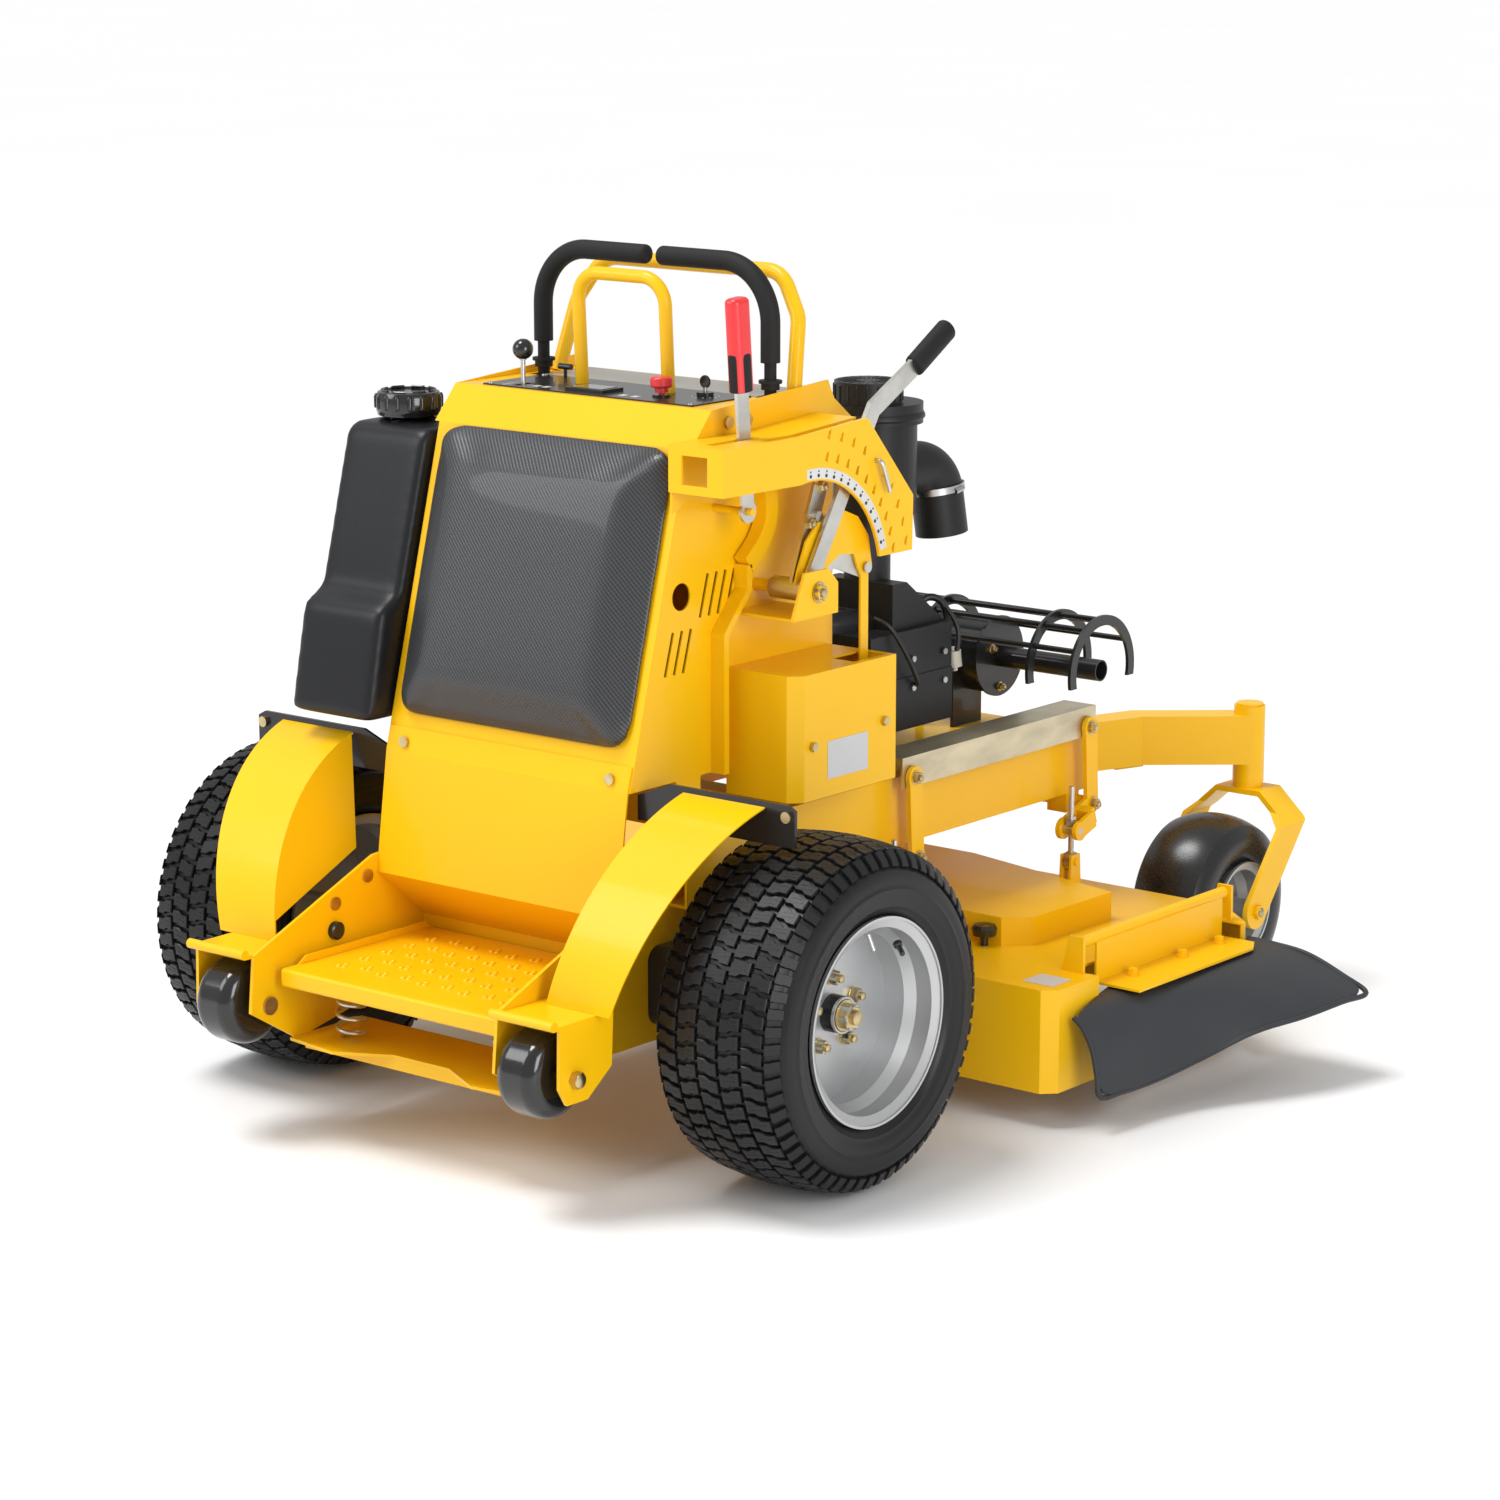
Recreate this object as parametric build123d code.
from build123d import *
import os
from math import atan2, cos, hypot, radians, sin, sqrt, tan

# Stand-on zero-turn mower. Working frame, in mm: origin on the ground under the rear axle's
# centre, +X to the operator's right, +Y forward, +Z up. save() moves every node so that the
# finished part has its origin at the middle of its box, on the ground.

# ---------------------------------------------------------------- drive wheels
TYRE_D = 556.0            # 22 x 9.5-12 turf tyre
TYRE_W = 250.0
TYRE_WALL = 12.0
TYRE_INNER_X = 424.0      # inner face of each tyre from the centre plane
BEAD_R = 152.0            # 12 inch rim
FOOT_SHARE = 0.75         # half bead spacing over half tyre width
RIM_FLANGE = 14.0         # flange height above the bead
RIM_SHEET = 4.0
TYRE_CROWN = 10.0         # how far the tread's edge is below its middle
FLANGE_GAP = 3.33         # tyre's side to the rim's flange
DISC_X = 20.0             # wheel disc's inner face from the tyre's middle
DISC_T = 5.0
LUG_COUNT = 5
LUG_CIRCLE_R = 57.15      # five studs on 4.5 inches
AXLE_R = 15.0
AXLE_Z = TYRE_D / 2
WHEEL_X = TYRE_INNER_X + TYRE_W / 2

# ---------------------------------------------------------------- casters
CASTER_D = 330.0          # 13 x 6.5-6 smooth tyre
CASTER_W = 150.0
CASTER_BEAD_R = 76.0
CASTER_CROWN = 14.0
CASTER_FLANGE_GAP = 7.56
CASTER_X = 416.0
CASTER_Y = 1444.0
CASTER_TRAIL = 128.0
CASTER_TUBE_R = 28.5
CASTER_STEM_R = 16.0
FORK_PLATE = 10.0
FORK_BAR_W = 64.0         # width of the flat bar that the fork is bent from
FORK_SIDE_GAP = 21.0      # tyre side to fork leg
FORK_TOP_GAP = 22.0       # tyre top to fork crown

# ---------------------------------------------------------------- fits
RUN = 0.05                # radial clearance of a shaft in its bore
GAP = 0.3                 # clearance between faces that pass each other
SHEET = 3.0               # body panels
PLATE = 6.0               # frame plates

# ---------------------------------------------------------------- frame
FORK_CROWN_Z = CASTER_D + FORK_TOP_GAP
TUBE_BOTTOM_Z = FORK_CROWN_Z + FORK_PLATE + 8.0
RAIL_Z = TUBE_BOTTOM_Z + 32.0
RAIL_H = 118.0
RAIL_TOP = RAIL_Z + RAIL_H
RAIL_X = 250.0            # inner face of the rails
RAIL_W = 50.0
RAIL_WALL = 5.0
RAIL_REAR = -20.0
RAIL_FRONT = 1125.0
ARM_Z = RAIL_Z + 4.0
ARM_H = 90.0
TUBE_TOP_Z = RAIL_TOP - 8.0
ENGINE_Y = 640.0
SHROUD_Z = RAIL_TOP + 120.0   # underside of the cooling ducts
TIE_RING_R = 18.0
TIE_RING_Y = 1312.0
TIE_RING_X = 190.0

# ---------------------------------------------------------------- rear end
SIDE_X = 259.0            # inner face of the rear side plates
PLATFORM_Z = RAIL_Z - 112.0
PLATFORM_REAR = -385.0
PLATFORM_FRONT = -40.0
PLATFORM_HALF = 240.0
PIVOT_Y = -50.0
PIVOT_Z = PLATFORM_Z - 17.0
PIVOT_R = 8.0
TRAY_Z = PLATFORM_Z - 130.0
SPRING_X = 170.0
SPRING_Y = -300.0
SPRING_R = 22.0
WIRE_R = 3.5
ROLLER_R = 70.0
ROLLER_W = 82.0
ROLLER_Y = -395.0
ROLLER_Z = PLATFORM_Z - 62.0
ROLLER_X = 325.0
BUMPER_X = 391.0          # outer face of the roller brackets
BUMPER_Z = PLATFORM_Z + 21.0
FENDER_GAP = 67.0
FENDER_BRACKET_Y = -94.0

# ---------------------------------------------------------------- tower and console
BODY_Z = TYRE_D + 44.0    # bottom of the bodywork
TOWER_HALF = 262.0
TOWER_FRONT = 400.0
TOWER_H = 525.0
TOWER_REAR_LOW = -112.0
TOWER_LEAN = 14.86        # degrees that the rear face leans forward
TOWER_TOP = BODY_Z + TOWER_H
CONSOLE_HALF = 272.0
CONSOLE_Z = TOWER_TOP + 57.0
CONSOLE_REAR = 78.0
CONSOLE_FRONT = 374.0
PAD_W = 504.0
PAD_T = 40.0
PANEL_TOP = BODY_Z + 40.0
PAD_MARGIN = 11.8         # bare length of the tower's rear face, pad ends added up
PAD_L = (TOWER_TOP - PANEL_TOP) / cos(radians(TOWER_LEAN)) - PAD_MARGIN
PAD_Z = (TOWER_TOP + PANEL_TOP) / 2 + 9.5

TANK_X0 = -452.0
TANK_X1 = -268.0
TANK_Z = BODY_Z + 45.0
TANK_H = 468.0
NECK_X = -376.0
NECK_Y = 75.0
NECK_R = 35.0
CAP_R = 58.0

# ---------------------------------------------------------------- controls
LEVER_X = 242.0
LEVER_Y = 262.0
LEVER_PIVOT_Z = CONSOLE_Z - 32.0
LEVER_R = 10.0
LEVER_GRIP_R = 16.0
LEVER_TOP = CONSOLE_Z + 212.0
LEVER_BEND = 95.0
HOOP_R = 11.0
THROTTLE_X = -159.0
THROTTLE_Y = 118.0
CHOKE_X = -166.0
CHOKE_Y = 230.0
PTO_X = 114.0
PTO_Y = 144.0
KEY_X = 168.0
KEY_Y = 188.0

QUAD_X = 376.0            # inner face of the quadrant's outer plate
QUAD_T = 5.0
PIN_TURN = 50.0           # angle of the hole that the height pin is kept in
HOLE_STEP = 7.6
LIFT_Y = 200.0            # lift lever's pivot
LIFT_Z = BODY_Z + 290.0
LIFT_PIN_R = 10.0
LIFT_X = 361.0
BRAKE_X = 327.0
BRAKE_Y = 95.0
BRAKE_Z = BODY_Z + 426.0
BRAKE_LEAN = 4.5

# ---------------------------------------------------------------- deck and its lift
DECK_HALF = 690.0
DECK_REAR = 430.0
DECK_FRONT = 1085.0
DECK_H = 174.0
DECK_SHEET = 4.0
SPINDLE_X = 425.0
SPINDLE_Y = 690.0
SPINDLE_MID_Y = 850.0
BLADE_R = 221.0
SHAFT_R = 12.0
PULLEY_R = 54.0
GROOVE_R = 46.0
COVER_H = 49.0
CRANK_FRONT_Y = 1055.0
CRANK_REAR_Y = 539.0
CRANK_SHAFT_R = 12.0
CRANK_X = 331.0
CRANK_T = 8.0
CRANK_PIN = (-8.0, 139.0)       # link pin from the crank's pivot
CRANK_EAR = (-85.0, -30.0)      # trunnion from the crank's pivot
CRANK_TURN = 42.0               # degrees between the deck's low and high stops
HANGER_X = 352.0
HANGER_DROP = 56.0
EYE_PLAY = 4.0
CRANK_Z = RAIL_Z - 16.0
TRUNNION_Z = CRANK_Z + CRANK_EAR[1]
EYE_Z = TRUNNION_Z - HANGER_DROP
DECK_TOP = EYE_Z - 64.0
DECK_Z = DECK_TOP - DECK_H
NOTCH_X = 632.0
NOTCH_REAR = 565.0
NOTCH_FRONT = 1000.0
CHUTE_HINGE_X = 650.0
CHUTE_HINGE_Z = DECK_TOP + 49.0
CHUTE_REACH = 930.0
FLANGE_OUT = 744.0
FLANGE_Z = DECK_TOP - 24.0

MUFFLER_Y = 1000.0
MUFFLER_Z = RAIL_TOP + 120.0
MUFFLER_R = 67.0
TAIL_R = 19.0
TAIL_END = 389.0

ORIGIN_X = (CHUTE_REACH - DECK_HALF) / 2
ORIGIN_Y = (ROLLER_Y - ROLLER_R + CASTER_Y - CASTER_TRAIL + CASTER_D / 2) / 2
CHUTE_BOLT_X = 682.0
CHUTE_BOLTS = (677.0, 826.0, 940.0)    # their places along the flange

# ================================================================ helpers
def block(x0, x1, y0, y1, z0, z1):
    return Pos((x0 + x1) / 2, (y0 + y1) / 2, (z0 + z1) / 2) * Box(x1 - x0, y1 - y0, z1 - z0)


def face_of(outline, rounds=0.0):
    """A flat face from corner points in either order; rounds fillets every corner."""
    ring = outline + outline[:1]
    twice = sum(a0 * b1 - a1 * b0 for (a0, b0), (a1, b1) in zip(ring, ring[1:]))
    face = Polygon(*(outline if twice > 0 else outline[::-1]), align=None)
    return fillet(face.vertices(), rounds) if rounds else face


def slab_x(x0, x1, outline, rounds=0.0):
    """Plate between two x planes; outline is (y, z)."""
    return extrude(Plane((x0, 0, 0), x_dir=(0, 1, 0), z_dir=(1, 0, 0)) * face_of(outline, rounds), x1 - x0)


def slab_y(y0, y1, outline, rounds=0.0):
    """Plate between two y planes; outline is (x, z)."""
    return extrude(Plane((0, y1, 0), x_dir=(1, 0, 0), z_dir=(0, -1, 0)) * face_of(outline, rounds), y1 - y0)


def slab_z(z0, z1, outline, rounds=0.0):
    """Plate between two z planes; outline is (x, y)."""
    return extrude(Plane((0, 0, z0)) * face_of(outline, rounds), z1 - z0)


def rod_x(x0, x1, y, z, r):
    return extrude(Plane((x0, y, z), x_dir=(0, 1, 0), z_dir=(1, 0, 0)) * Circle(r), x1 - x0)


def rod_y(y0, y1, x, z, r):
    return extrude(Plane((x, y1, z), x_dir=(1, 0, 0), z_dir=(0, -1, 0)) * Circle(r), y1 - y0)


def rod_z(z0, z1, x, y, r):
    return extrude(Plane((x, y, z0)) * Circle(r), z1 - z0)


def hex_x(x0, x1, y, z, flats):
    shape = RegularPolygon(flats / sqrt(3), 6)
    return extrude(Plane((x0, y, z), x_dir=(0, 1, 0), z_dir=(1, 0, 0)) * shape, x1 - x0)


def hex_z(z0, z1, x, y, flats):
    return extrude(Plane((x, y, z0)) * RegularPolygon(flats / sqrt(3), 6), z1 - z0)


def band(path, thick, side=1):
    """Corner points of a bent strip: a path and its parallel at thick to its left (side=1)."""
    normals = []
    for (a0, b0), (a1, b1) in zip(path, path[1:]):
        run = hypot(a1 - a0, b1 - b0)
        normals.append((-(b1 - b0) / run * side, (a1 - a0) / run * side))
    other = []
    for i, (a, b) in enumerate(path):
        n0 = normals[max(i - 1, 0)]
        n1 = normals[min(i, len(normals) - 1)]
        scale = thick / (1 + n0[0] * n1[0] + n0[1] * n1[1])
        other.append((a + (n0[0] + n1[0]) * scale, b + (n0[1] + n1[1]) * scale))
    return path + other[::-1]


def bar(path, width):
    """Corner points of a flat bar of a given width along a centre line."""
    left = band(path, width / 2, 1)[len(path):]
    right = band(path, width / 2, -1)[len(path):]
    return left + right[::-1]


def turned(edges):
    """Solid of revolution about X from closed profile edges in (along, radius)."""
    return revolve(make_face(edges), Axis.X)


def turned_polygon(outline):
    return revolve(Polygon(*outline, align=None), Axis.X)


def tube(points, bend, r, hole=0.0):
    """Round tube, or rod, along a route with equal bends."""
    path = FilletPolyline(*points, radius=bend) if len(points) > 2 else Line(*points)
    start = Plane(origin=path @ 0, z_dir=path % 0)
    section = start * Circle(r)
    if hole:
        section -= start * Circle(hole)
    return sweep(section, path)


def left(shape):
    return mirror(shape, about=Plane.YZ)


def both(shape):
    return [shape, left(shape)]


def group(*shapes):
    """Separate solids kept apart in one node."""
    solids = []
    for shape in shapes:
        for item in shape if isinstance(shape, list) else [shape]:
            solids += item.solids()
    return Compound(solids)


def save(name, shape):
    export_step(shape.moved(Location((-ORIGIN_X, -ORIGIN_Y, 0))), f"parts/{name}.step")


# ================================================================ wheels
def sidewall(diameter, width, bead_r, crown):
    """Three points of a tyre's side in (along, radius): tread edge, widest point and bead."""
    r = diameter / 2
    half = width / 2
    bulge_r = bead_r + (r - bead_r) * 0.56
    return (half * 0.83, r - crown), (half, bulge_r), (half * FOOT_SHARE, bead_r)


def sidewall_x(points, radius):
    """How far out a tyre's side is at a radius: the right half of the circle through 3 points."""
    (ax, ay), (bx, by), (cx, cy) = points
    a2, b2, c2 = ax * ax + ay * ay, bx * bx + by * by, cx * cx + cy * cy
    twice = 2 * (ax * (by - cy) + bx * (cy - ay) + cx * (ay - by))
    mid_x = (a2 * (by - cy) + b2 * (cy - ay) + c2 * (ay - by)) / twice
    mid_y = (a2 * (cx - bx) + b2 * (ax - cx) + c2 * (bx - ax)) / twice
    return mid_x + sqrt((ax - mid_x) ** 2 + (ay - mid_y) ** 2 - (radius - mid_y) ** 2)


def tyre(diameter, width, bead_r, wall, crown):
    """Hollow tyre casing, its middle at x = 0."""
    r = diameter / 2
    (edge, _), (half, bulge_r), (foot, _) = sidewall(diameter, width, bead_r, crown)
    outer = [
        ThreePointArc((-edge, r - crown), (0, r), (edge, r - crown)),
        ThreePointArc((edge, r - crown), (half, bulge_r), (foot, bead_r)),
    ]
    inner_edge = edge - wall
    inner = [
        ThreePointArc((inner_edge, r - crown - wall), (half - wall, bulge_r), (foot - wall, bead_r)),
        ThreePointArc((inner_edge, r - crown - wall), (0, r - wall), (-inner_edge, r - crown - wall)),
    ]
    edges = [
        outer[0],
        outer[1],
        Line((foot, bead_r), (foot - wall, bead_r)),
        inner[0],
        inner[1],
        ThreePointArc((-inner_edge, r - crown - wall), (wall - half, bulge_r), (wall - foot, bead_r)),
        Line((wall - foot, bead_r), (-foot, bead_r)),
        ThreePointArc((-foot, bead_r), (-half, bulge_r), (-edge, r - crown)),
    ]
    return turned(edges)


def rim_outline(side, flange, well, gap):
    """Outer face of a rolled rim: flange, bead seat, drop centre, bead seat, flange."""
    foot, bead_r = side[2]
    top = bead_r + flange
    lip = sidewall_x(side, top) + gap
    seat = lip - 6.0
    seat_r = bead_r - GAP
    inner_seat = foot - TYRE_WALL - 4.0
    well_edge = inner_seat - 16.0
    half = [(lip + 6.0, top), (lip, top), (seat, seat_r), (inner_seat, seat_r), (well_edge, well)]
    return half + [(-a, b) for a, b in half[::-1]]




def drive_rim():
    """Dished steel rim with its drive hub, studs and lug nuts, its middle at x = 0."""
    side = sidewall(TYRE_D, TYRE_W, BEAD_R, TYRE_CROWN)
    barrel = turned_polygon(band(rim_outline(side, RIM_FLANGE, 140.0, FLANGE_GAP), RIM_SHEET, 1))
    disc = rod_x(DISC_X, DISC_X + DISC_T, 0, 0, 138.0) - rod_x(DISC_X, DISC_X + DISC_T, 0, 0, 30.0)
    hole_r = 8.0
    stud_r = 6.0
    face = DISC_X + DISC_T
    shaft_in = 332.0 - WHEEL_X
    hub = rod_x(DISC_X - 8, DISC_X, 0, 0, 75.0) + rod_x(DISC_X - 8, face + 26, 0, 0, 29.0)
    hub += rod_x(shaft_in, DISC_X, 0, 0, AXLE_R) + hex_x(face + 26, face + 44, 0, 0, 36.0)
    nuts = []
    for i in range(LUG_COUNT):
        turn = radians(90 + 360 / LUG_COUNT * i)
        y = LUG_CIRCLE_R * cos(turn)
        z = LUG_CIRCLE_R * sin(turn)
        disc -= rod_x(DISC_X, face, y, z, hole_r)
        hub += rod_x(DISC_X, face + 20, y, z, stud_r)
        nuts.append(hex_x(face, face + 14, y, z, 19.0) - rod_x(face, face + 14, y, z, stud_r))
    valve = tube([(95, 0, BEAD_R - 16), (106, 0, BEAD_R - 40)], 0, 5.0)
    valve -= barrel
    return group(barrel + disc, hub, nuts, valve)


def caster_rim():
    """Small one-piece rim with a long hub tube, its middle at x = 0."""
    side = sidewall(CASTER_D, CASTER_W, CASTER_BEAD_R, CASTER_CROWN)
    barrel = turned_polygon(band(rim_outline(side, 11.0, 66.0, CASTER_FLANGE_GAP), RIM_SHEET, 1))
    web = rod_x(-3, 3, 0, 0, 63.5)
    reach = CASTER_W / 2 + FORK_SIDE_GAP - GAP
    hub = rod_x(-reach, reach, 0, 0, 19.0)
    return barrel + web + hub - rod_x(-reach, reach, 0, 0, 8.0 + RUN)


def caster_fork(x):
    """Bent flat-bar fork with its stem, dust cap and axle bolt."""
    y = CASTER_Y - CASTER_TRAIL
    z = CASTER_D / 2
    leg = CASTER_W / 2 + FORK_SIDE_GAP
    crown = 47.0
    shoulder_z = FORK_CROWN_Z - 45.0
    top = FORK_CROWN_Z + FORK_PLATE
    bend = [(-leg - FORK_PLATE, z - 40), (-leg - FORK_PLATE, shoulder_z), (-crown, top)]
    bend += [(crown, top), (leg + FORK_PLATE, shoulder_z), (leg + FORK_PLATE, z - 40)]
    fork = slab_y(y - 60, CASTER_Y + 60, band(bend, FORK_PLATE, -1))
    w = FORK_BAR_W / 2
    lean = atan2(CASTER_TRAIL, shoulder_z - z + 30)
    side = [(y - w * cos(lean), z + w * sin(lean)), (CASTER_Y - w - 3, shoulder_z + 20)]
    side += [(CASTER_Y - w - 3, top + 1), (CASTER_Y + w + 3, top + 1), (CASTER_Y + w + 3, shoulder_z + 6)]
    side += [(y + w * cos(lean), z - w * sin(lean))]
    shape = slab_x(-leg - 20, leg + 20, side) + rod_x(-leg - 20, leg + 20, y, z, w)
    fork = fork & shape
    stem_top = TUBE_TOP_Z + GAP
    fork += rod_z(top - 1, stem_top, 0, CASTER_Y, CASTER_STEM_R)
    fork += rod_z(stem_top, stem_top + 4, 0, CASTER_Y, CASTER_TUBE_R - 4)
    fork += rod_z(top, TUBE_BOTTOM_Z - GAP, 0, CASTER_Y, CASTER_TUBE_R - 1)
    fork -= rod_x(-leg - 20, leg + 20, y, z, 8.0)
    bolt = rod_x(-leg - FORK_PLATE, leg + FORK_PLATE, y, z, 8.0)
    for start in (-leg - FORK_PLATE - 9, leg + FORK_PLATE):
        bolt += hex_x(start, start + 9, y, z, 24.0)
    return Pos(x, 0, 0) * group(fork, bolt)


# ================================================================ frame
def main_frame():
    """Two box rails, cross members, engine plate, front arms and caster tubes."""
    z0 = RAIL_Z
    rail = block(RAIL_X, RAIL_X + RAIL_W, RAIL_REAR, RAIL_FRONT, z0, RAIL_TOP)
    rail -= block(RAIL_X + RAIL_WALL, RAIL_X + RAIL_W - RAIL_WALL, RAIL_REAR, RAIL_FRONT,
                  z0 + RAIL_WALL, RAIL_TOP - RAIL_WALL)
    front = block(-RAIL_X, RAIL_X, RAIL_FRONT - 60, RAIL_FRONT, z0 + 18, RAIL_TOP - 20)
    middle = block(-RAIL_X, RAIL_X, 330, 380, z0 + 18, RAIL_TOP - 20)
    rear = block(-RAIL_X, RAIL_X, RAIL_REAR, RAIL_REAR + 50, z0, RAIL_TOP - 50)
    engine_plate = block(-RAIL_X, RAIL_X, 430, 1010, RAIL_TOP - 12, RAIL_TOP - 4)
    engine_plate -= rod_z(RAIL_TOP - 12, RAIL_TOP - 4, 0, ENGINE_Y, 55)
    bore = rod_z(TUBE_BOTTOM_Z, TUBE_TOP_Z, CASTER_X, CASTER_Y, CASTER_STEM_R + RUN)
    caster_tube = rod_z(TUBE_BOTTOM_Z, TUBE_TOP_Z, CASTER_X, CASTER_Y, CASTER_TUBE_R)
    line = [(219, RAIL_FRONT), (219, 1206), (258, 1312), (CASTER_X, CASTER_Y)]
    arm = slab_z(ARM_Z, ARM_Z + ARM_H, bar(line, 58))
    arm -= caster_tube
    arm = arm.solids().sort_by(SortBy.VOLUME)[-1]
    ring = slab_z(ARM_Z - 10, ARM_Z, [(TIE_RING_X, TIE_RING_Y - 30), (TIE_RING_X + 55, TIE_RING_Y - 44),
                                      (TIE_RING_X + 75, TIE_RING_Y + 14), (TIE_RING_X, TIE_RING_Y + 30)])
    ring += rod_z(ARM_Z - 10, ARM_Z, TIE_RING_X, TIE_RING_Y, TIE_RING_R + 16)
    ring -= rod_z(ARM_Z - 10, ARM_Z, TIE_RING_X, TIE_RING_Y, TIE_RING_R)
    posts = []
    for y in (0.0, 330.0):
        posts += both(block(TOWER_HALF - 10, TOWER_HALF, y, y + 60, RAIL_TOP, BODY_Z))
    lugs = []
    for y in (CRANK_FRONT_Y, CRANK_REAR_Y):
        lug = block(RAIL_X + 5, RAIL_X + 45, y - 20, y + 20, CRANK_Z - 20, RAIL_Z)
        lugs += both(lug - rod_x(RAIL_X, RAIL_X + RAIL_W, y, CRANK_Z, CRANK_SHAFT_R + RUN))
    sides = both(rail) + both(arm) + both(caster_tube - bore) + both(ring)
    return group(sides, posts, lugs, front, middle, rear, engine_plate)


def roller_bracket():
    """Top plate with a rolled rear lip, and the outer plate beside the roller."""
    x0 = SIDE_X + PLATE
    top = block(x0, BUMPER_X, -440, -305, BUMPER_Z, BUMPER_Z + PLATE)
    lip = rod_x(x0, BUMPER_X, -440, BUMPER_Z + 8, 8)
    z = ROLLER_Z
    outline = [(-427, BUMPER_Z), (-305, BUMPER_Z), (-309, z + 3)]
    outline += [(-365, z - 38), (-412, z - 38), (-429, z - 10)]
    return top + lip + slab_x(BUMPER_X - PLATE, BUMPER_X, outline)


def rear_side_plates():
    """Side plates with roller brackets, the spring tray and its cross bar."""
    p = PLATFORM_Z
    z = ROLLER_Z
    outline = [(-435, z - 6), (-426, p + 26), (-150, RAIL_Z + 28), (RAIL_REAR, RAIL_Z + 36)]
    outline += [(RAIL_REAR, RAIL_Z), (260, RAIL_Z), (260, RAIL_Z - 110)]
    outline += [(180, AXLE_Z - 88), (-180, AXLE_Z - 88), (-332, TRAY_Z - 1)]
    plate = slab_x(SIDE_X, SIDE_X + PLATE, outline)
    plate -= rod_x(SIDE_X, SIDE_X + PLATE, 0, AXLE_Z, 32)
    plate += roller_bracket()
    plate -= rod_x(SIDE_X, BUMPER_X, ROLLER_Y, ROLLER_Z, 8.0)
    plate -= rod_x(SIDE_X, SIDE_X + PLATE, PIVOT_Y, PIVOT_Z, PIVOT_R)
    notch = [(-SIDE_X, -185), (-SIDE_X, -350), (-150, -366), (-60, -318), (60, -318), (150, -366)]
    notch += [(SIDE_X, -350), (SIDE_X, -185)]
    tray = slab_z(TRAY_Z, TRAY_Z + 5, notch)
    cross = block(-SIDE_X, SIDE_X, -316, -304, TRAY_Z - 20, TRAY_Z)
    pin = rod_x(-SIDE_X - PLATE, SIDE_X + PLATE, PIVOT_Y, PIVOT_Z, PIVOT_R)
    return group(both(plate), tray, cross, pin)


def platform():
    """Tread plate with rolled rear lip, low side flanges and a pivot tube."""
    h = PLATFORM_HALF
    z = PLATFORM_Z
    tread = block(-h, h, PLATFORM_REAR + 8, PLATFORM_FRONT, z - 4, z)
    lip = block(-h, h, PLATFORM_REAR, PLATFORM_REAR + 14, z - 30, z)
    lip = fillet(lip.edges().filter_by(Axis.X), 6)
    flange = slab_x(h - 4, h, [(-352, z - 2), (-330, z + 12), (-50, z + 12), (PLATFORM_FRONT, z - 2)])
    shape = tread + lip + flange + left(flange)
    shape += rod_x(-h, h, PIVOT_Y, PIVOT_Z, 12) + block(-h, h, PIVOT_Y - 4, PIVOT_Y + 4, PIVOT_Z + 8, z - 2)
    return shape - rod_x(-h, h, PIVOT_Y, PIVOT_Z, PIVOT_R + RUN)


def platform_springs():
    """Two coil springs between the tray and the platform."""
    z0 = TRAY_Z + 5 + WIRE_R
    height = PLATFORM_Z - 4 - WIRE_R - z0
    turns = 5
    coil = Helix(pitch=height / turns, height=height, radius=SPRING_R)
    section = Plane(origin=coil @ 0, z_dir=coil % 0) * Circle(WIRE_R)
    spring = Pos(SPRING_X, SPRING_Y, z0) * sweep(section, coil, is_frenet=True)
    return group(both(spring))


def roller():
    outer = rod_x(-ROLLER_W / 2, ROLLER_W / 2, 0, 0, ROLLER_R)
    outer = fillet(outer.edges(), 24)
    return outer - rod_x(-ROLLER_W / 2, ROLLER_W / 2, 0, 0, 8.0 + RUN)


def hydro_transmissions():
    """A wheel drive gearbox on each side plate, with its axle bore."""
    x0 = SIDE_X + PLATE
    case = block(x0, 395, -75, 95, AXLE_Z - 63, AXLE_Z + 67)
    case = fillet(case.edges().filter_by(Axis.X), 25)
    case += rod_x(395, TYRE_INNER_X - 8, 0, AXLE_Z, 38) + rod_z(AXLE_Z + 60, AXLE_Z + 95, 330, 10, 30)
    return group(both(case - rod_x(325, TYRE_INNER_X, 0, AXLE_Z, AXLE_R + RUN)))


# ================================================================ bodywork
def tower_rear_y(z):
    return TOWER_REAR_LOW + (z - BODY_Z) * tan(radians(TOWER_LEAN))


def tower_shell():
    """Folded sheet tower with vent slots and a round access hole on the right."""
    outline = [(TOWER_REAR_LOW, BODY_Z), (tower_rear_y(TOWER_TOP), TOWER_TOP)]
    outline += [(TOWER_FRONT, TOWER_TOP), (TOWER_FRONT, BODY_Z)]
    inner = [(TOWER_REAR_LOW + SHEET, BODY_Z - 1), (tower_rear_y(TOWER_TOP) + SHEET, TOWER_TOP - SHEET)]
    inner += [(TOWER_FRONT - SHEET, TOWER_TOP - SHEET), (TOWER_FRONT - SHEET, BODY_Z - 1)]
    shell = slab_x(-TOWER_HALF, TOWER_HALF, outline)
    shell -= slab_x(-TOWER_HALF + SHEET, TOWER_HALF - SHEET, inner)
    shell += block(-TOWER_HALF + SHEET, TOWER_HALF - SHEET, 120, 330, BODY_Z, BODY_Z + 4)
    side = (TOWER_HALF - SHEET, TOWER_HALF)
    shell -= rod_x(*side, 14, BODY_Z + 294, 22)
    rows = [(4, 80.0, 323.0), (3, -6.0, 240.0)]
    for count, first, top in rows:
        for i in range(count):
            y = first + 22.0 * i
            z = BODY_Z + top
            shell -= slab_x(*side, bar([(y, z), (y - 20, z - 68)], 6.5))
    return shell


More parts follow.
